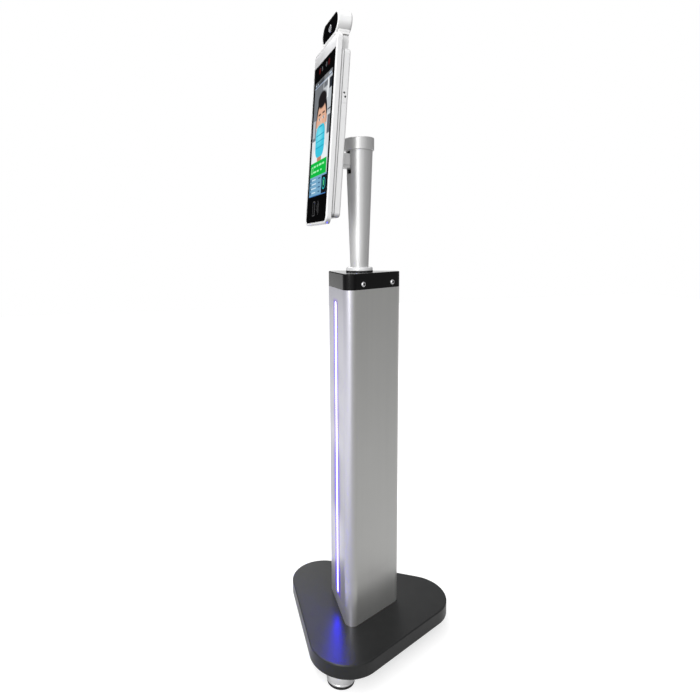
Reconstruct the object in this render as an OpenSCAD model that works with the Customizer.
// Temperature check kiosk: a tilting face-check terminal with a thermal head, on a
// tapered pole that swivels on a three-sided lit column and a ballasted base.
// Millimetres. +Z is up, the screen faces -Y, and the origin is on the floor in the
// middle of the base's footprint.

/* [Base] */
// Distance from the base's middle to its flat sides
base_inradius = 130; // [115:1:170]
// Radius of the base's three corners
base_corner = 73; // [50:1:90]
// Height of the base
base_h = 28; // [24:1:40]
// Rounding along the base's top edge
base_edge = 2.5; // [1:0.5:5]
// Thickness of the base's steel shell
shell_wall = 2.5; // [1.5:0.5:4]
// How far the base sits behind the column
base_shift = 2; // [0:0.5:8]
// Thickness of the ballast plate that closes the base
ballast_t = 12; // [8:1:16]

/* [Feet] */
// Height of each foot under the base
foot_h = 28; // [20:1:40]
// Diameter of the foot cups
foot_d = 53.5; // [40:0.5:60]
// Thickness of the rubber pads
pad_t = 5; // [3:0.5:8]
// Distance from the base's middle to each foot
foot_reach = 155; // [120:1:158]
// Thread diameter of the foot studs
stud_d = 8; // [6:1:12]
// How far each foot can be screwed out
foot_travel = 8; // [4:1:9]

/* [Column] */
// Distance from the column's axis to its flat sides
column_inradius = 48; // [46:0.5:58]
// Radius of the column's three corners
column_corner = 15.5; // [12:0.5:20]
// Height of the column's sleeve
column_h = 670; // [500:5:900]
// Wall of the column's sleeve
column_wall = 2.5; // [2:0.5:3.5]
// Height of the black cap on the column
cap_h = 30; // [26:1:40]
// Rounding along the cap's top edge
cap_edge = 2; // [1:0.5:4]
// Thickness of the cap's top
cap_deck = 6; // [4:0.5:8]
// Distance of the cap screws from the middle of each side
cap_screw_x = 40; // [30:1:42]

/* [Light] */
// Width of the light slot
slot_w = 16; // [10:1:20]
// Height of the slot's lower end above the base
slot_low = 30; // [26:1:80]
// Distance of the slot's upper end below the cap
slot_high = 26; // [24:1:80]
// Distance between neighbouring lamps on the light board
lamp_pitch = 18; // [12:1:40]

/* [Pole] */
// Thickness of the gasket under the flange
gasket_t = 2.5; // [1:0.5:5]
// Diameter of the flange
flange_d = 51; // [44:1:60]
// Thickness of the flange
flange_t = 7; // [5:0.5:10]
// Height of the pole from the flange to its cap
pole_h = 217; // [180:1:300]
// Diameter of the pole at the flange
pole_foot_d = 35; // [32:0.5:40]
// Diameter of the pole under its cap
pole_top_d = 50.5; // [49:0.5:54]
// Wall of the pole
pole_wall = 3; // [2:0.25:3.5]
// Diameter of the pole's cap
pole_cap_d = 56; // [55:0.5:64]
// Height of the pole's cap
pole_cap_h = 23; // [12:1:30]
// Width of the slot that the arm comes out of
arm_slot_w = 24; // [23:0.5:26]
// Height of the slot that the arm comes out of
arm_slot_h = 41; // [40:0.5:50]
// Diameter of the swivel stem under the flange
stem_d = 20; // [16:1:24]

/* [Hinge] */
// Height of the hinge pin below the pole's cap
hinge_below_cap = 17.5; // [17:0.5:18.5]
// How far the hinge pin sits in front of the pole's axis
hinge_forward = 8; // [6:0.5:8.5]
// Diameter of the hinge pin
pin_d = 8; // [5:0.5:10]
// Width of the arm's knuckle
knuckle_w = 20; // [14:0.5:21]
// Height of the arm's knuckle
knuckle_h = 20; // [16:0.5:20]
// Thickness of the tongue under the knuckle
tongue_t = 6; // [3:0.5:6]
// How far the pole is turned from the column's front
rest_turn = 4; // [0:0.5:10]
// How far the screen is tipped back
terminal_tilt = 4.4; // [0:0.1:8]
// Distance from the terminal's front to the hinge pin
hinge_depth = 71.5; // [66:0.5:80]
// Height of the glass's middle above the hinge pin
hinge_drop = 26; // [10:1:60]

/* [Terminal] */
// Width of the front glass
glass_w = 137; // [134:1:170]
// Height of the front glass
glass_h = 292; // [286:1:330]
// Corner radius of the glass
glass_corner = 9; // [6:0.5:12]
// Thickness of the glass
glass_t = 2; // [1:0.25:2.5]
// How far the glass sits behind the rim
glass_recess = 0.6; // [0.3:0.1:1]
// Width of the white rim beside the glass
rim = 4; // [3:0.5:8]
// Height of the white rim under the glass
chin = 4.5; // [4:0.5:12]
// Height of the brow above the glass
brow = 25.5; // [20:0.5:28]
// Depth of the front bezel
bezel_depth = 9.5; // [9:0.5:12]
// Depth of the middle band with its two grooves
band_depth = 6; // [5:0.5:10]
// Depth of the rear cover
cover_depth = 12; // [11:0.5:20]
// Height of the rear cover and the middle band
cover_h = 286; // [270:1:290]
// Height of the cover's middle above the glass's middle
cover_rise = 4; // [0:0.5:8]
// How far the rear cover is narrower than the bezel on each side
cover_inset = 4; // [3:0.5:8]
// Wall of the plastic housings
housing_wall = 2.5; // [2:0.25:3]
// Black border of the glass beside the picture
border_side = 12.5; // [11:0.5:25]
// Black border of the glass above the picture
border_high = 30; // [28:0.5:50]
// Black border of the glass below the picture
border_low = 49.5; // [20:0.5:60]
// How far the side buttons travel
button_travel = 0.8; // [0.4:0.1:1]

/* [Thermal head] */
// Width of the head
head_w = 102; // [100:1:130]
// Height of the head
head_h = 38.5; // [36:0.5:50]
// Depth of the head
head_depth = 26.5; // [22:0.5:40]
// Height of the head's middle above the glass's middle
head_rise = 199; // [197:0.5:210]
// How far the head's face sits behind the rim
head_setback = 6.5; // [4:0.5:10]
// Width of the head's white rim above and below its face
head_rim = 2.75; // [2:0.25:4]
// Width of the head's white rim at its round ends
head_end_rim = 4.5; // [3:0.5:6]
// Diameter of the thermal lens
lens_d = 15; // [8:0.5:20]
// Width of the neck block
neck_w = 96; // [70:1:98]
// Depth of the neck block
neck_depth = 19; // [14:0.5:20]

/* [Hidden] */
$fn = 96;

fit_gap = 0.3;
running_gap = 0.05;
screw_gap = 0.1;
tangent_gap = 0.003;
corner_angles = [-30, 90, 210];

base_reach = 2 * (base_inradius - base_corner);
base_tip = base_reach + base_corner;
base_y = -(base_tip - base_inradius) / 2;
axis_y = base_y - base_shift;
base_top = foot_h + base_h;
ballast_inradius = base_inradius - shell_wall - fit_gap;
ballast_corner = base_corner - shell_wall - fit_gap;
ballast_top = foot_h + ballast_t;

sleeve_in = column_inradius - column_wall;
sleeve_face = sleeve_in - tangent_gap;
sleeve_corner_in = column_corner - column_wall;
column_reach = 2 * (column_inradius - column_corner);
column_top = base_top + column_h;
cap_top = column_top + cap_h;
bracket_in = sleeve_in - fit_gap;
bracket_corner = sleeve_corner_in - fit_gap;
bracket_wall = 4;
bracket_floor = 6;
bracket_low_h = 18;
bracket_drop = 14;
cap_room = cap_h - cap_deck;
rod_reach = column_reach - 16;
rod_d = 6;
bolt_d = 8;
bolt_reach = 22;
bolt_gap = 0.5;
bolt_head_h = 8;
bolt_head_d = 13;
pillar_d = 20;
cap_screw_d = 6;
cap_screw_head_d = 10.5;
cap_screw_head_h = 3.3;
cap_screw_z = column_top + 10;
cap_screw_sides = [30, 150];

slot_bottom_z = base_top + slot_low;
slot_top_z = column_top - slot_high;
channel_w = slot_w + 10;
channel_depth = 10;
channel_wall = 1.5;
channel_over = 6;
light_board_w = 10;
light_board_t = 1.2;
lamp_size = 5;
lamp_t = 1.6;

inlet_w = 28;
inlet_h = 21;
inlet_z = base_top + 52;
switch_w = 14;
switch_h = 21;
switch_z = inlet_z + 32;
supply_w = 60;
supply_d = 34;
supply_h = 110;
supply_z = switch_z + 30;
supply_y = -20;
tray_t = 3;
switch_tip = 7;

flange_z = cap_top + gasket_t;
pole_z = flange_z + flange_t;
pole_cap_z = pole_z + pole_h;
stem_in_r = 6;
bush_wall = 2;
bush_flange = 2;
nut_h = 10;
deck_top = column_top + bracket_floor;
stem_bottom = column_top - bush_flange - nut_h - 5;
slot_head = 1.5;
arm_slot_top = pole_cap_z - slot_head;
arm_slot_bottom = arm_slot_top - arm_slot_h;
carrier_h = arm_slot_h;

hinge_y = axis_y - hinge_forward;
hinge_z = pole_cap_z - hinge_below_cap;
cover_back = bezel_depth + band_depth + cover_depth;
plate_t = 3;
pin_half = knuckle_w / 2 + 6;
plate_w = 84;
plate_h = 76;
plate_screw_x = 35;
plate_screw_z = 31;
bezel_w = glass_w + 2 * rim;
bezel_top = glass_h / 2 + brow;
bezel_bottom = -glass_h / 2 - chin;
bezel_corner = glass_corner + rim;
cover_w = bezel_w - 2 * cover_inset;
cover_top = cover_rise + cover_h / 2;
brow_rib = 1.2;
brow_plate_h = brow - rim - brow_rib;
groove = 1;
web_t = 1.5;
cover_y = bezel_depth + band_depth;
glass_ledge = 6;
screen_w = glass_w - 2 * border_side;
screen_h = glass_h - border_high - border_low;
screen_rise = (border_low - border_high) / 2;
panel_w = screen_w + 8;
panel_h = screen_h + 14;
panel_t = 4;
glass_back = glass_recess + glass_t;
panel_y = glass_back;
boss_r = 4.5;
button_d = 3;
board_gap_side = 25;
board_gap_high = 58;
board_t = 1.6;
board_y = cover_y - 3;
spreader_w = 44;
memory_w = 24;
memory_pitch = 30;
power_button_at = [cover_y + 4.5, 73];
reset_button_at = [cover_y + 6.7, 66.5];
seam_z = 55;
camera_z = glass_h / 2 - 12.5;
camera_x = 13.5;
lamp_x = 29.5;
head_y = head_setback;
head_bottom = head_rise - head_h / 2;
face_w = head_w - 2 * head_end_rim;
face_h = head_h - 2 * head_rim;
neck_slot_h = 2.5;
neck_slot_inset = 3;
collar_bottom = head_bottom - 4.75;
collar_top = head_bottom + 2.75;
collar_over = 2;
collar_groove = 0.5;
window_t = 2;

function spin(r, a) = [r * cos(a), r * sin(a)];

// Flat outline of a triangle with round corners, one of them pointing to +Y. Its sides
// run a hair inside the corners' tangents, so that they cross the arcs.
module tri_outline(inradius, corner) {
    reach = 2 * (inradius - corner);
    inner = corner - tangent_gap;
    polygon([for (a = corner_angles) for (s = [-60, 60]) spin(reach, a) + spin(inner, a + s)]);
    for (a = corner_angles)
        translate(spin(reach, a)) circle(corner);
}

// Half section of an edge, rounded at its top
module edge_profile(w, h, e) {
    square([w, h - e]);
    square([w - e, h]);
    translate([w - e, h - e]) circle(e);
}

// Three-cornered slab with a rounded top edge
module soft_tri(inradius, corner, h, e) {
    reach = 2 * (inradius - corner);
    side = sqrt(3) * reach;
    linear_extrude(h) polygon([for (a = corner_angles) spin(reach + corner / 2, a)]);
    for (a = corner_angles) {
        translate(spin(reach, a)) rotate_extrude() edge_profile(corner, h, e);
        rotate(a + 180) translate([inradius - corner, side / 2, 0]) rotate([90, 0, 0])
            linear_extrude(side) edge_profile(corner - tangent_gap, h, e);
    }
}

// Flat rectangle with round corners
module round_rect(w, h, corner) {
    square([w - 2 * corner, h], center = true);
    square([w, h - 2 * corner], center = true);
    for (sx = [-1, 1], sy = [-1, 1])
        translate([sx * (w / 2 - corner), sy * (h / 2 - corner)]) circle(corner);
}

// Flat rectangle with its two lower corners round
module round_foot(w, h, corner) {
    translate([-w / 2, corner - h / 2]) square([w, h - corner]);
    translate([corner - w / 2, -h / 2]) square([w - 2 * corner, h]);
    for (s = [-1, 1])
        translate([s * (w / 2 - corner), corner - h / 2]) circle(corner);
}

// Rectangular slab with round corners and a rounded top edge
module soft_rect(w, h, t, corner, e) {
    x = w / 2 - corner;
    y = h / 2 - corner;
    linear_extrude(t) round_rect(w - 2 * e, h - 2 * e, corner - e);
    for (sx = [-1, 1], sy = [-1, 1])
        translate([sx * x, sy * y, 0]) rotate_extrude() edge_profile(corner, t, e);
    for (turn = [0, 180]) {
        rotate(turn) translate([x, y, 0]) rotate([90, 0, 0])
            linear_extrude(2 * y) edge_profile(corner, t, e);
        rotate(turn + 90) translate([y, x, 0]) rotate([90, 0, 0])
            linear_extrude(2 * x) edge_profile(corner, t, e);
    }
}

// Flat bar with round ends
module stadium(w, h) {
    square([w - h, h], center = true);
    for (s = [-1, 1])
        translate([s * (w - h) / 2, 0]) circle(d = h);
}

// Bar with round ends and a rounded top edge
module soft_bar(w, h, t, e) {
    x = (w - h) / 2;
    for (s = [-1, 1])
        translate([s * x, 0, 0]) rotate_extrude() edge_profile(h / 2, t, e);
    for (turn = [90, 270])
        rotate(turn) translate([0, x, 0]) rotate([90, 0, 0]) linear_extrude(2 * x) edge_profile(h / 2, t, e);
}

// Places what follows on the column's axis
module on_axis(z = 0) translate([0, axis_y, z]) children();

// Places what follows on a foot's axis
module at_foot(a) translate([0, base_y, 0]) translate(spin(foot_reach, a)) children();

// Turns what follows about the column's axis, as far as the pole is turned
module on_swivel() translate([0, axis_y, 0]) rotate(rest_turn) translate([0, -axis_y, 0]) children();

// Places what follows in the terminal, with y running back from its front
module in_terminal() {
    on_swivel() translate([0, hinge_y, hinge_z]) rotate([-terminal_tilt, 0, 0])
        translate([0, -hinge_depth, hinge_drop]) children();
}

// Stands a flat outline up, from one depth of the terminal to another
module panel(y0, y1, z = 0) translate([0, y1, z]) rotate([90, 0, 0]) linear_extrude(y1 - y0) children();

// Places what follows on the column's left rear side, with x pointing out
module on_left_side(z) on_axis(z) rotate(150) translate([column_inradius, 0, 0]) children();

// Cylinder that runs back from one depth of the terminal to another
module rod_y(r, y0, y1) translate([0, y1, 0]) rotate([90, 0, 0]) cylinder(r = r, h = y1 - y0);

// Six-sided bar, measured across its flats
module hex(across, h) cylinder(d = across / cos(30), h = h, $fn = 6);

module base_shell() color("#2b2c2e") difference() {
    translate([0, base_y, foot_h]) soft_tri(base_inradius, base_corner, base_h, base_edge);
    translate([0, base_y, foot_h - 1]) linear_extrude(base_h - shell_wall + 1)
        tri_outline(base_inradius - shell_wall, base_corner - shell_wall);
    for (a = corner_angles)
        on_axis(foot_h) translate(spin(bolt_reach, a)) cylinder(d = bolt_d + bolt_gap, h = base_h + 1);
}

module base_ballast() color("#55585c") difference() {
    translate([0, base_y, foot_h]) linear_extrude(ballast_t) tri_outline(ballast_inradius, ballast_corner);
    for (a = corner_angles) {
        on_axis(foot_h - 1) translate(spin(bolt_reach, a)) cylinder(d = bolt_d + 2 * screw_gap, h = ballast_t + 2);
        at_foot(a) translate([0, 0, foot_h - 1]) cylinder(d = stud_d + 2 * running_gap, h = ballast_t + 2);
    }
}

module base_pillars() color("#9a9da1") for (a = corner_angles) on_axis(ballast_top) translate(spin(bolt_reach, a))
    difference() {
        cylinder(d = pillar_d, h = base_top - shell_wall - ballast_top);
        translate([0, 0, -1]) cylinder(d = bolt_d + bolt_gap, h = base_h);
    }

module column_bolts() color("#3a3b3d") for (a = corner_angles)
    on_axis(base_top + bracket_floor) translate(spin(bolt_reach, a)) difference() {
        union() {
            cylinder(d = bolt_head_d, h = bolt_head_h);
            translate([0, 0, foot_h + 1 - base_top - bracket_floor])
                cylinder(d = bolt_d, h = base_top + bracket_floor - foot_h);
        }
        translate([0, 0, bolt_head_h - 4]) hex(6, 5);
    }

module foot_lock_nuts() color("#a9acb0") for (a = corner_angles)
    at_foot(a) translate([0, 0, ballast_top]) difference() {
        hex(stud_d * 1.6, 5);
        translate([0, 0, -1]) cylinder(d = stud_d + 2 * running_gap, h = 7);
    }

module foot(a) color("#c9cbcd") at_foot(a) translate([0, 0, pad_t]) difference() {
    union() {
        cylinder(d = foot_d, h = foot_h - pad_t - 1.5);
        cylinder(d = foot_d - 3, h = foot_h - pad_t);
    }
    translate([0, 0, -1]) cylinder(d = stud_d + 2 * screw_gap, h = foot_h);
}

module foot_stud(a) color("#8e9195") at_foot(a) translate([0, 0, pad_t])
    cylinder(d = stud_d, h = ballast_top + foot_travel + 1 - pad_t);

module foot_pad(a) color("#1b1b1c") at_foot(a) cylinder(d = foot_d - 2, h = pad_t);

module column_sleeve() color("#9c9c9a") difference() {
    on_axis(base_top) linear_extrude(column_h) tri_outline(column_inradius, column_corner);
    on_axis(base_top - 1) linear_extrude(column_h + 2) tri_outline(sleeve_in, sleeve_corner_in);
    on_axis() light_slot(slot_w, sleeve_in - 1, column_inradius + 1);
    inlet_cut(inlet_w, inlet_h, inlet_z);
    inlet_cut(switch_w, switch_h, switch_z);
}

// Upright slot with round ends in the column's front side
module light_slot(w, y0, y1) translate([0, -y0, 0]) rotate([90, 0, 0]) linear_extrude(y1 - y0)
    translate([0, (slot_bottom_z + slot_top_z) / 2]) rotate(90)
        stadium(slot_top_z - slot_bottom_z + w - slot_w, w);

module inlet_cut(w, h, z) on_left_side(z) translate([-column_wall - 1, -w / 2, -h / 2])
    cube([column_wall + 2, w, h]);

module bottom_bracket() color("#8c8f93") on_axis(base_top) difference() {
    linear_extrude(bracket_low_h) tri_outline(bracket_in, bracket_corner);
    translate([0, 0, bracket_floor]) linear_extrude(bracket_low_h)
        tri_outline(bracket_in - bracket_wall, bracket_corner - bracket_wall);
    for (a = corner_angles) {
        translate(concat(spin(bolt_reach, a), -1)) cylinder(d = bolt_d + bolt_gap, h = bracket_floor + 2);
        translate(concat(spin(rod_reach, a), -1)) cylinder(d = rod_d + 2 * screw_gap, h = bracket_floor + 2);
    }
}

module top_bracket() color("#8c8f93") difference() {
    on_axis(column_top - bracket_drop) linear_extrude(bracket_drop + cap_room) tri_outline(bracket_in, bracket_corner);
    on_axis(column_top - bracket_drop - 1) linear_extrude(bracket_drop + 1)
        tri_outline(bracket_in - bracket_wall, bracket_corner - bracket_wall);
    on_axis(deck_top) linear_extrude(cap_room)
        tri_outline(bracket_in - bracket_wall, bracket_corner - bracket_wall);
    for (a = corner_angles)
        on_axis(column_top - 1) translate(spin(rod_reach, a)) cylinder(d = rod_d + 2 * screw_gap, h = bracket_floor + 2);
    cap_screw_places() rotate([0, 90, 0])
        translate([0, 0, -bracket_wall - 3]) cylinder(d = cap_screw_d + 2 * screw_gap, h = bracket_wall + 4);
    on_axis(column_top - 1) cylinder(r = stem_d / 2 + bush_wall + screw_gap, h = bracket_floor + 2);
}

// Two screw places on each rear side of the column, with x pointing out from the bracket's wall
module cap_screw_places() for (side = cap_screw_sides, s = [-1, 1])
    on_axis(cap_screw_z) rotate(side) translate([column_inradius, s * cap_screw_x, 0]) children();

module tie_rods() color("#8e9195") for (a = corner_angles) on_axis(base_top + 1) translate(spin(rod_reach, a))
    cylinder(d = rod_d, h = column_h + bracket_floor + 10);

module tie_nuts() color("#a9acb0") for (a = corner_angles, z = [base_top + bracket_floor, deck_top])
    on_axis(z) translate(spin(rod_reach, a)) difference() {
        hex(10, 5);
        translate([0, 0, -1]) cylinder(d = rod_d + 2 * screw_gap, h = 7);
    }

module column_cap() color("#1d1d1f") difference() {
    on_axis(column_top) soft_tri(column_inradius, column_corner, cap_h, cap_edge);
    on_axis(column_top - 1) linear_extrude(cap_room + 1) tri_outline(sleeve_in, sleeve_corner_in);
    on_axis(cap_top - cap_deck - 1) cylinder(d = stem_d + 2 * fit_gap, h = cap_deck + 2);
    cap_screw_places() rotate([0, 90, 0])
        translate([0, 0, -column_wall - 1]) cylinder(d = cap_screw_d + bolt_gap, h = column_wall + 2);
}

module cap_screws() color("#b8babd") cap_screw_places() rotate([0, 90, 0]) difference() {
    union() {
        cylinder(d = cap_screw_head_d, h = cap_screw_head_h * 0.45);
        cylinder(d1 = cap_screw_head_d, d2 = cap_screw_head_d * 0.55, h = cap_screw_head_h);
        translate([0, 0, -9]) cylinder(d = cap_screw_d, h = 9.5);
    }
    translate([0, 0, cap_screw_head_h - 2]) hex(4, 3);
}

module light_bar() color("#e9ecff") {
    on_axis() light_slot(slot_w - 2 * fit_gap, sleeve_in - 0.5, column_inradius);
    on_axis(slot_bottom_z - 3) translate([-slot_w / 2 - 3, -sleeve_face, 0])
        cube([slot_w + 6, 1.5, slot_top_z - slot_bottom_z + 6]);
}

module light_channel() color("#b9bcc0") on_axis(slot_bottom_z - channel_over)
    translate([-channel_w / 2, -sleeve_face, 0]) difference() {
        cube([channel_w, channel_depth, slot_top_z - slot_bottom_z + 2 * channel_over]);
        translate([channel_wall, -1, -1])
            cube([channel_w - 2 * channel_wall, channel_depth + 1 - channel_wall, column_h + 2]);
    }

// Board with its row of lamps behind the light bar
module light_board() color("#f2f2ee") {
    length = slot_top_z - slot_bottom_z;
    count = floor((length - lamp_size) / lamp_pitch);
    board_y = -sleeve_face + channel_depth - channel_wall - light_board_t;
    on_axis(slot_bottom_z) translate([-light_board_w / 2, board_y, 0]) cube([light_board_w, light_board_t, length]);
    for (i = [0:count])
        on_axis(slot_bottom_z + (length - count * lamp_pitch - lamp_size) / 2 + i * lamp_pitch)
            translate([-lamp_size / 2, board_y - lamp_t, 0]) cube([lamp_size, lamp_t + 0.1, lamp_size]);
}

module power_supply() color("#35373a") on_axis(supply_z) translate([-supply_w / 2, supply_y, 0])
    cube([supply_w, supply_d, supply_h]);

// Shelf on two legs that stands on the bottom bracket
module supply_tray() color("#8c8f93") on_axis() {
    translate([-supply_w / 2, supply_y, supply_z - tray_t]) cube([supply_w, supply_d, tray_t]);
    for (x = [-supply_w / 2, supply_w / 2 - tray_t])
        translate([x, supply_y, base_top + bracket_floor])
            cube([tray_t, 12, supply_z - base_top - bracket_floor - tray_t / 2]);
}

module power_inlet() color("#1b1b1c") on_left_side(inlet_z) {
    difference() {
        union() {
            translate([0, -20, -13]) cube([2, 40, 26]);
            translate([-18, -inlet_w / 2 + fit_gap, -inlet_h / 2 + fit_gap])
                cube([18.5, inlet_w - 2 * fit_gap, inlet_h - 2 * fit_gap]);
        }
        translate([-15, -12, -8]) cube([20, 24, 16]);
    }
    for (y = [-7, 0, 7])
        translate([-16, y - 1, y == 0 ? 0.5 : -4.5]) cube([8, 2, 4]);
}

module switch_housing() color("#1b1b1c") on_left_side(switch_z) difference() {
    union() {
        translate([0, -9, -12.5]) cube([2, 18, 25]);
        translate([-14, -switch_w / 2 + fit_gap, -switch_h / 2 + fit_gap])
            cube([14.5, switch_w - 2 * fit_gap, switch_h - 2 * fit_gap]);
    }
    translate([-9, -5.9, -9.2]) cube([20, 11.8, 18.4]);
    translate([-2, -7, 0]) rotate([-90, 0, 0]) cylinder(r = 1.5 + running_gap, h = 14);
}

module switch_rocker() color("#3c3d40") on_left_side(switch_z) translate([-2, 0, 0]) {
    rotate([0, -switch_tip, 0]) translate([-3.5, -5.5, -8.3]) cube([8.5, 11, 16.6]);
    translate([0, -6.6, 0]) rotate([-90, 0, 0]) cylinder(r = 1.5, h = 13.2);
}

module power_lead() color("#161617") on_axis(supply_z + supply_h) cylinder(
    r = 3, h = arm_slot_bottom - 6 - supply_z - supply_h);

module stem_bush() color("#e8e6de") on_axis(column_top - bush_flange) difference() {
    union() {
        cylinder(r = stem_d / 2 + bush_wall + 3, h = bush_flange);
        cylinder(r = stem_d / 2 + bush_wall, h = bush_flange + bracket_floor);
    }
    translate([0, 0, -1]) cylinder(r = stem_d / 2 + running_gap, h = 20);
}

module pole_gasket() color("#19191a") on_axis(cap_top) difference() {
    cylinder(d = flange_d + 1, h = gasket_t);
    translate([0, 0, -1]) cylinder(d = stem_d + 2 * fit_gap, h = gasket_t + 2);
}

module pole_flange() color("#d9dadc") on_axis(flange_z) difference() {
    union() {
        cylinder(d = flange_d, h = flange_t - 1);
        cylinder(d1 = flange_d, d2 = flange_d - 2, h = flange_t);
    }
    translate([0, 0, -1]) cylinder(r = stem_in_r, h = flange_t + 2);
}

module pole_stem() color("#8e9195") on_axis(stem_bottom) difference() {
    cylinder(d = stem_d, h = flange_z - stem_bottom);
    translate([0, 0, -1]) cylinder(r = stem_in_r, h = flange_z - stem_bottom + 2);
}

module stem_nut() color("#a9acb0") on_axis(column_top - bush_flange - nut_h - 0.1) difference() {
    union() {
        hex(stem_d * 1.5, nut_h - 2);
        cylinder(d = stem_d * 1.6, h = nut_h);
    }
    translate([0, 0, -1]) cylinder(r = stem_d / 2 + 0.01, h = nut_h + 2);
}

module pole_taper(inset) {
    cylinder(r1 = pole_foot_d / 2 - inset, r2 = pole_top_d / 2 - inset, h = pole_h);
}

module pole_tube() color("#aeb0b2") on_swivel() difference() {
    on_axis(pole_z) pole_taper(0);
    on_axis(pole_z) pole_taper(pole_wall);
    translate([-arm_slot_w / 2, axis_y - pole_top_d, arm_slot_bottom])
        cube([arm_slot_w, pole_top_d, arm_slot_h]);
    grub_places() rotate([-90, 0, 0]) cylinder(d = 5, h = 30);
}

module grub_places() for (z = [-12, 12]) on_axis(hinge_z - 3 + z) translate([0, 12, 0]) children();

// Hollow cap that closes the pole's top
module pole_cap() color("#b6b8ba") on_axis(pole_cap_z) {
    cylinder(d1 = pole_cap_d, d2 = pole_cap_d, h = pole_cap_h - 1.5);
    cylinder(d = pole_cap_d - 3, h = pole_cap_h);
    translate([0, 0, pole_cap_h - 1.5]) cylinder(d1 = pole_cap_d, d2 = pole_cap_d - 3, h = 1.5);
    translate([0, 0, -1.2]) cylinder(d1 = pole_top_d - 2 * pole_wall - 2, d2 = pole_top_d - 2 * pole_wall - 2, h = 1.3);
}

// Block in the top of the pole, forked to hold the hinge pin
module hinge_carrier() color("#6d7074") on_swivel() difference() {
    intersection() {
        on_axis(pole_z) pole_taper(pole_wall + 0.02);
        on_axis(pole_cap_z - 1.2 - carrier_h) cylinder(d = 2 * pole_top_d, h = carrier_h);
    }
    translate([-knuckle_w / 2 - fit_gap, axis_y - pole_top_d, arm_slot_bottom - 5])
        cube([knuckle_w + 2 * fit_gap, pole_top_d - hinge_forward + knuckle_h / 2 + 2.5, arm_slot_h + 10]);
    translate([-pole_top_d, hinge_y, hinge_z]) rotate([0, 90, 0])
        cylinder(r = pin_d / 2 + running_gap, h = 2 * pole_top_d);
    grub_places() rotate([-90, 0, 0]) cylinder(d = 5, h = 30);
}

module hinge_pin() color("#c4c6c8") on_swivel() translate([-pin_half, hinge_y, hinge_z]) rotate([0, 90, 0])
    cylinder(d = pin_d, h = 2 * pin_half);

module pole_grub_screws() color("#2a2a2b") on_swivel() grub_places() rotate([-90, 0, 0]) difference() {
    cylinder(d = 5 - 2 * screw_gap, h = 10);
    translate([0, 0, 7]) hex(2.5, 5);
}

module hinge_arm() color("#f1f1ef") difference() {
    in_terminal() union() {
        translate([-knuckle_w / 2, cover_back + plate_t, -hinge_drop - knuckle_h / 2])
            cube([knuckle_w, hinge_depth - cover_back - plate_t, knuckle_h]);
        translate([-knuckle_w / 2, hinge_depth, -hinge_drop]) rotate([0, 90, 0])
            cylinder(d = knuckle_h, h = knuckle_w);
    }
    in_terminal() translate([-knuckle_w, hinge_depth, -hinge_drop]) rotate([0, 90, 0])
        cylinder(r = pin_d / 2 + running_gap, h = 2 * knuckle_w);
    arm_bolt_places() rod_y(2.5 + screw_gap, cover_back + plate_t - 1, cover_back + plate_t + 14);
}

module arm_tongue() color("#8f9194") in_terminal()
    translate([-knuckle_w / 2 + 0.5, cover_back + plate_t, -hinge_drop - knuckle_h / 2 - tongue_t])
        cube([knuckle_w - 1, hinge_depth - cover_back - plate_t + 2, tongue_t]);

module arm_bolt_places() in_terminal() for (z = [-5, 5]) translate([0, 0, z - hinge_drop]) children();

module arm_bolts() color("#3a3b3d") arm_bolt_places() {
    rod_y(2.5, cover_back, cover_back + plate_t + 12);
    rod_y(4.2, cover_back, cover_back + 1.5);
}

module mount_plate() color("#e6e6e4") difference() {
    in_terminal() panel(cover_back, cover_back + plate_t, -hinge_drop) round_rect(plate_w, plate_h, 6);
    arm_bolt_places() {
        rod_y(2.5 + screw_gap, cover_back - 1, cover_back + plate_t + 1);
        rod_y(4.2 + screw_gap, cover_back - 1, cover_back + 1.5 + screw_gap);
    }
    mount_screw_places() rod_y(2 + screw_gap, cover_back - 1, cover_back + plate_t + 1);
}

module mount_screw_places() in_terminal() for (x = [-1, 1], z = [-1, 1])
    translate([x * plate_screw_x, 0, z * plate_screw_z - hinge_drop]) children();

module mount_screws() color("#b8babd") mount_screw_places() difference() {
    union() {
        rod_y(2, cover_back - 5.5, cover_back + plate_t);
        rod_y(3.8, cover_back + plate_t, cover_back + plate_t + 2.2);
    }
    translate([0, cover_back + plate_t + 1, 0]) rotate([-90, 0, 0]) hex(2.5, 3);
}

module front_bezel() color("#f4f4f3") in_terminal() difference() {
    translate([0, bezel_depth, (bezel_top + bezel_bottom) / 2]) rotate([90, 0, 0])
        soft_rect(bezel_w, bezel_top - bezel_bottom, bezel_depth, bezel_corner, 2.5);
    panel(-1, glass_back) round_foot(glass_w + 2 * screw_gap, glass_h + 2 * screw_gap, glass_corner);
    panel(-1, glass_recess, glass_h / 2 + brow_rib + brow_plate_h / 2)
        rotate(180) round_foot(glass_w, brow_plate_h, glass_corner);
    difference() {
        panel(glass_back - 1, bezel_depth + 1) round_rect(glass_w - 2 * glass_ledge, glass_h - 2 * glass_ledge, 4);
        cover_screw_places() rod_y(boss_r, glass_back, bezel_depth);
    }
    cover_screw_places() rod_y(1.5 + screw_gap, glass_back + 2, bezel_depth + 1);
}

module front_glass() color("#0b0b0d") in_terminal()
    panel(glass_recess, glass_back) round_foot(glass_w, glass_h, glass_corner - screw_gap);

module display_panel() color("#2c3138") in_terminal()
    panel(panel_y, panel_y + panel_t, screen_rise) round_rect(panel_w, panel_h, 2);

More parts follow.
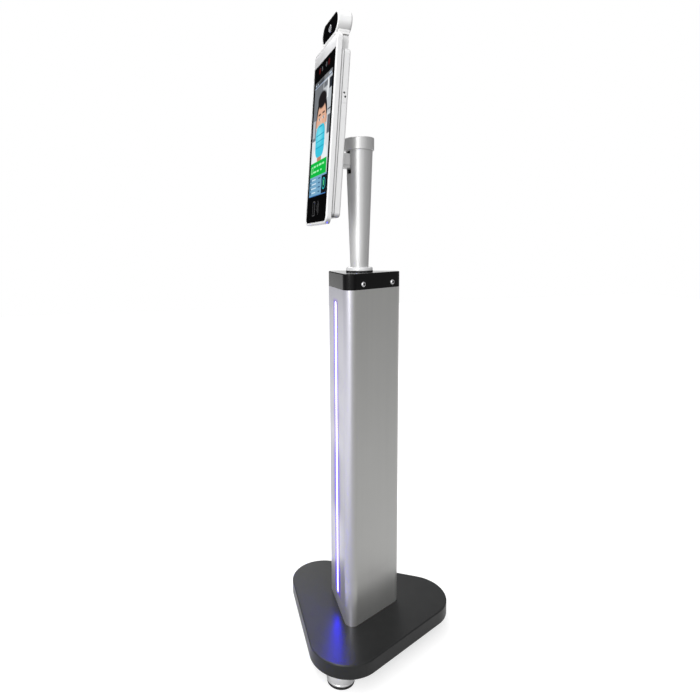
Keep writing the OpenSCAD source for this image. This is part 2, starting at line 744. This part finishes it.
// Band between the bezel and the rear cover, with a groove on each side of it
module middle_band() color("#e4e4e6") in_terminal() difference() {
    union() {
        panel(bezel_depth, cover_y, cover_rise)
            round_rect(cover_w - 2 * groove, cover_h - 2 * groove, bezel_corner - cover_inset);
        panel(bezel_depth + groove, cover_y - groove, cover_rise)
            round_rect(cover_w + 2, cover_h, bezel_corner - cover_inset + 1);
    }
    difference() {
        panel(bezel_depth + web_t, cover_y + 1, cover_rise)
            round_rect(cover_w - 4 * housing_wall, cover_h - 4 * housing_wall, 4);
        cover_screw_places() rod_y(boss_r, bezel_depth, cover_y);
    }
    cover_screw_places() rod_y(1.5 + screw_gap, bezel_depth - 1, cover_y + 1);
    panel(bezel_depth - 1, cover_y)
        round_rect(glass_w - 40, 60, 4);
}

module rear_cover() color("#f0f0ef") difference() {
    in_terminal() translate([0, cover_y, cover_rise]) rotate([-90, 0, 0])
        soft_rect(cover_w, cover_h, cover_depth, bezel_corner - cover_inset, 3);
    difference() {
        in_terminal() panel(cover_y - 1, cover_back - housing_wall, cover_rise)
            round_rect(cover_w - 2 * housing_wall, cover_h - 2 * housing_wall, bezel_corner - cover_inset - 2);
        in_terminal() cover_screw_places() rod_y(boss_r, cover_y, cover_back);
        mount_screw_places() rod_y(boss_r, cover_y + 3, cover_back);
    }
    for (at = [power_button_at, reset_button_at]) button_place(at) rotate([0, 90, 0])
        cylinder(d = button_d + 2 * fit_gap, h = 20, center = true);
    mount_screw_places() rod_y(2 + screw_gap, cover_back - 6, cover_back + 1);
    in_terminal() {
        for (i = [0:5]) panel(cover_back - 4, cover_back + 1, 104 - 5 * i) round_rect(70, 2, 0.9);
        for (i = [0:4]) panel(cover_back - 4, cover_back + 1, -100 - 5 * i) round_rect(40, 2, 0.9);
        cover_screw_places() rod_y(3, cover_back - 1.5, cover_back + 1);
        cover_screw_places() rod_y(1.5 + screw_gap, cover_y - 1, cover_back + 1);
        translate([cover_w / 2 - groove / 2, cover_y + groove, seam_z]) cube([groove, cover_depth - 4, groove]);
    }
}

module cover_screw_places() for (x = [-1, 1], z = [-1, 1])
    translate([x * (cover_w / 2 - 9), 0, cover_rise + z * (cover_h / 2 - 9)]) children();

module cover_screws() color("#9a9da1") in_terminal() cover_screw_places() difference() {
    union() {
        rod_y(1.5, bezel_depth - 4, cover_back - 1.5);
        rod_y(2.8, cover_back - 1.5, cover_back - 0.2);
    }
    translate([0, cover_back - 0.9, 0]) rotate([-90, 0, 0]) hex(1.8, 3);
}

// Circuit board with its processor, memory and a heat spreader
module main_board() color("#1f5a3a") in_terminal() {
    board_w = cover_w - 2 * board_gap_side;
    board_h = cover_h - 2 * board_gap_high;
    chip_y = board_y + board_t - 0.1;
    translate([-board_w / 2, board_y, -board_h / 2]) cube([board_w, board_t, board_h]);
    translate([-spreader_w / 2, chip_y, 20]) cube([spreader_w, 4, spreader_w]);
    for (i = [-1:1]) translate([i * memory_pitch - memory_w / 2, chip_y, -60]) cube([memory_w, 2, 16]);
    for (s = [-1, 1]) {
        translate([s * (board_w / 2 - 9) - 3, chip_y, -20]) cube([6, 4, 50]);
        for (z = [-1, 1])
            translate([s * (board_w / 2 - 6), 0, z * (board_h / 2 - 6)]) rod_y(3, bezel_depth + web_t, board_y + 0.1);
    }
}

module camera_board() color("#2b2d31") in_terminal() {
    translate([-46, glass_back + 3, camera_z - 6]) cube([92, 1.2, 10.5]);
    for (x = [-camera_x, camera_x]) translate([x, 0, camera_z]) rod_y(4, glass_back, glass_back + 3.1);
    for (x = [-lamp_x, lamp_x]) translate([x, 0, camera_z]) rod_y(2.6, glass_back, glass_back + 3.1);
}

module loudspeaker() color("#2a2a2b") in_terminal()
    translate([-22, cover_back - housing_wall - 6, -124]) cube([44, 6, 30]);

// at is a depth and a height in the terminal
module button_place(at) in_terminal() translate([cover_w / 2, at.x, at.y]) children();

// Side button with a collar behind the cover's wall that keeps it in
module side_button(at) color("#2a2a2c") button_place(at) rotate([0, -90, 0]) {
    translate([0, 0, 0.3]) cylinder(d = button_d, h = housing_wall + 2);
    translate([0, 0, housing_wall + 0.1]) cylinder(d = button_d + 1.6, h = 1.2);
}

// Block behind the brow, with a slot above it and a collar that the head rests on. The collar
// has a fine groove around it, and its ends rise beside the head's round ends.
module head_neck() color("#e9e9e8") in_terminal() {
    block_top = collar_bottom - neck_slot_h;
    collar_half = neck_w / 2 + collar_over;
    collar_middle = (collar_bottom + collar_top) / 2;
    round_x = (head_w - head_h) / 2;
    translate([-neck_w / 2, bezel_depth, cover_top + fit_gap])
        cube([neck_w, neck_depth, block_top - cover_top - fit_gap]);
    translate([-neck_w / 2 + neck_slot_inset, bezel_depth + 1, block_top - 1])
        cube([neck_w - 2 * neck_slot_inset, neck_depth - neck_slot_inset, neck_slot_h + 2]);
    difference() {
        translate([-collar_half, bezel_depth, collar_bottom])
            cube([2 * collar_half, neck_depth, collar_top - collar_bottom]);
        difference() {
            translate([-neck_w, 0, collar_middle]) cube([2 * neck_w, 2 * neck_depth, collar_groove]);
            translate([collar_groove - collar_half, 0, collar_middle - 1])
                cube([2 * (collar_half - collar_groove), bezel_depth + neck_depth - collar_groove, 2 + collar_groove]);
        }
        translate([-round_x, 0, head_bottom]) cube([2 * round_x, 3 * neck_depth, head_h]);
        for (x = [-round_x, round_x]) translate([x, 0, head_rise]) rod_y(head_h / 2 + fit_gap, 0, 3 * neck_depth);
    }
}

module head_shell() color("#f4f4f3") in_terminal() difference() {
    translate([0, head_y + head_depth / 2, head_rise]) {
        rotate([90, 0, 0]) soft_bar(head_w, head_h, head_depth / 2, 1.5);
        rotate([-90, 0, 0]) soft_bar(head_w, head_h, head_depth / 2, 4);
    }
    panel(head_y - 1, head_y + window_t, head_rise) stadium(face_w, face_h);
    panel(head_y + 1, head_y + head_depth - 3, head_rise) stadium(face_w - 4, face_h - 4);
}

module head_window() color("#0b0b0d") in_terminal() difference() {
    panel(head_y + 0.4, head_y + window_t, head_rise)
        stadium(face_w - 2 * screw_gap, face_h - 2 * screw_gap);
    translate([0, 0, head_rise]) rod_y(lens_d / 2 + screw_gap, head_y - 1, head_y + window_t + 1);
}

// Thermal lens in its barrel, on a small board
module thermal_sensor() color("#3c4046") in_terminal() translate([0, 0, head_rise]) {
    rod_y(lens_d / 2, head_y + 0.2, head_y + 12);
    translate([-24, head_y + 12, -13]) cube([48, 1.6, 26]);
    for (x = [-18, 18]) translate([x, 0, 0]) rod_y(3, head_y + 13, head_y + head_depth - 3);
}

base_shell();
base_ballast();
base_pillars();
column_bolts();
foot_lock_nuts();
foot(-30);  // foot_right
foot_stud(-30);  // foot_stud_right
foot_pad(-30);  // foot_pad_right
foot(210);  // foot_left
foot_stud(210);  // foot_stud_left
foot_pad(210);  // foot_pad_left
foot(90);  // foot_rear
foot_stud(90);  // foot_stud_rear
foot_pad(90);  // foot_pad_rear
column_sleeve();
bottom_bracket();
top_bracket();
tie_rods();
tie_nuts();
column_cap();
cap_screws();
light_bar();
light_channel();
light_board();
power_supply();
supply_tray();
power_inlet();
switch_housing();
switch_rocker();
power_lead();
stem_bush();
pole_gasket();
pole_flange();
pole_stem();
stem_nut();
pole_tube();
pole_cap();
hinge_carrier();
hinge_pin();
pole_grub_screws();
hinge_arm();
arm_tongue();
arm_bolts();
mount_plate();
mount_screws();
front_bezel();
front_glass();
display_panel();
middle_band();
rear_cover();
cover_screws();
main_board();
camera_board();
loudspeaker();
side_button(power_button_at);  // power_button
side_button(reset_button_at);  // reset_button
head_neck();
head_shell();
head_window();
thermal_sensor();
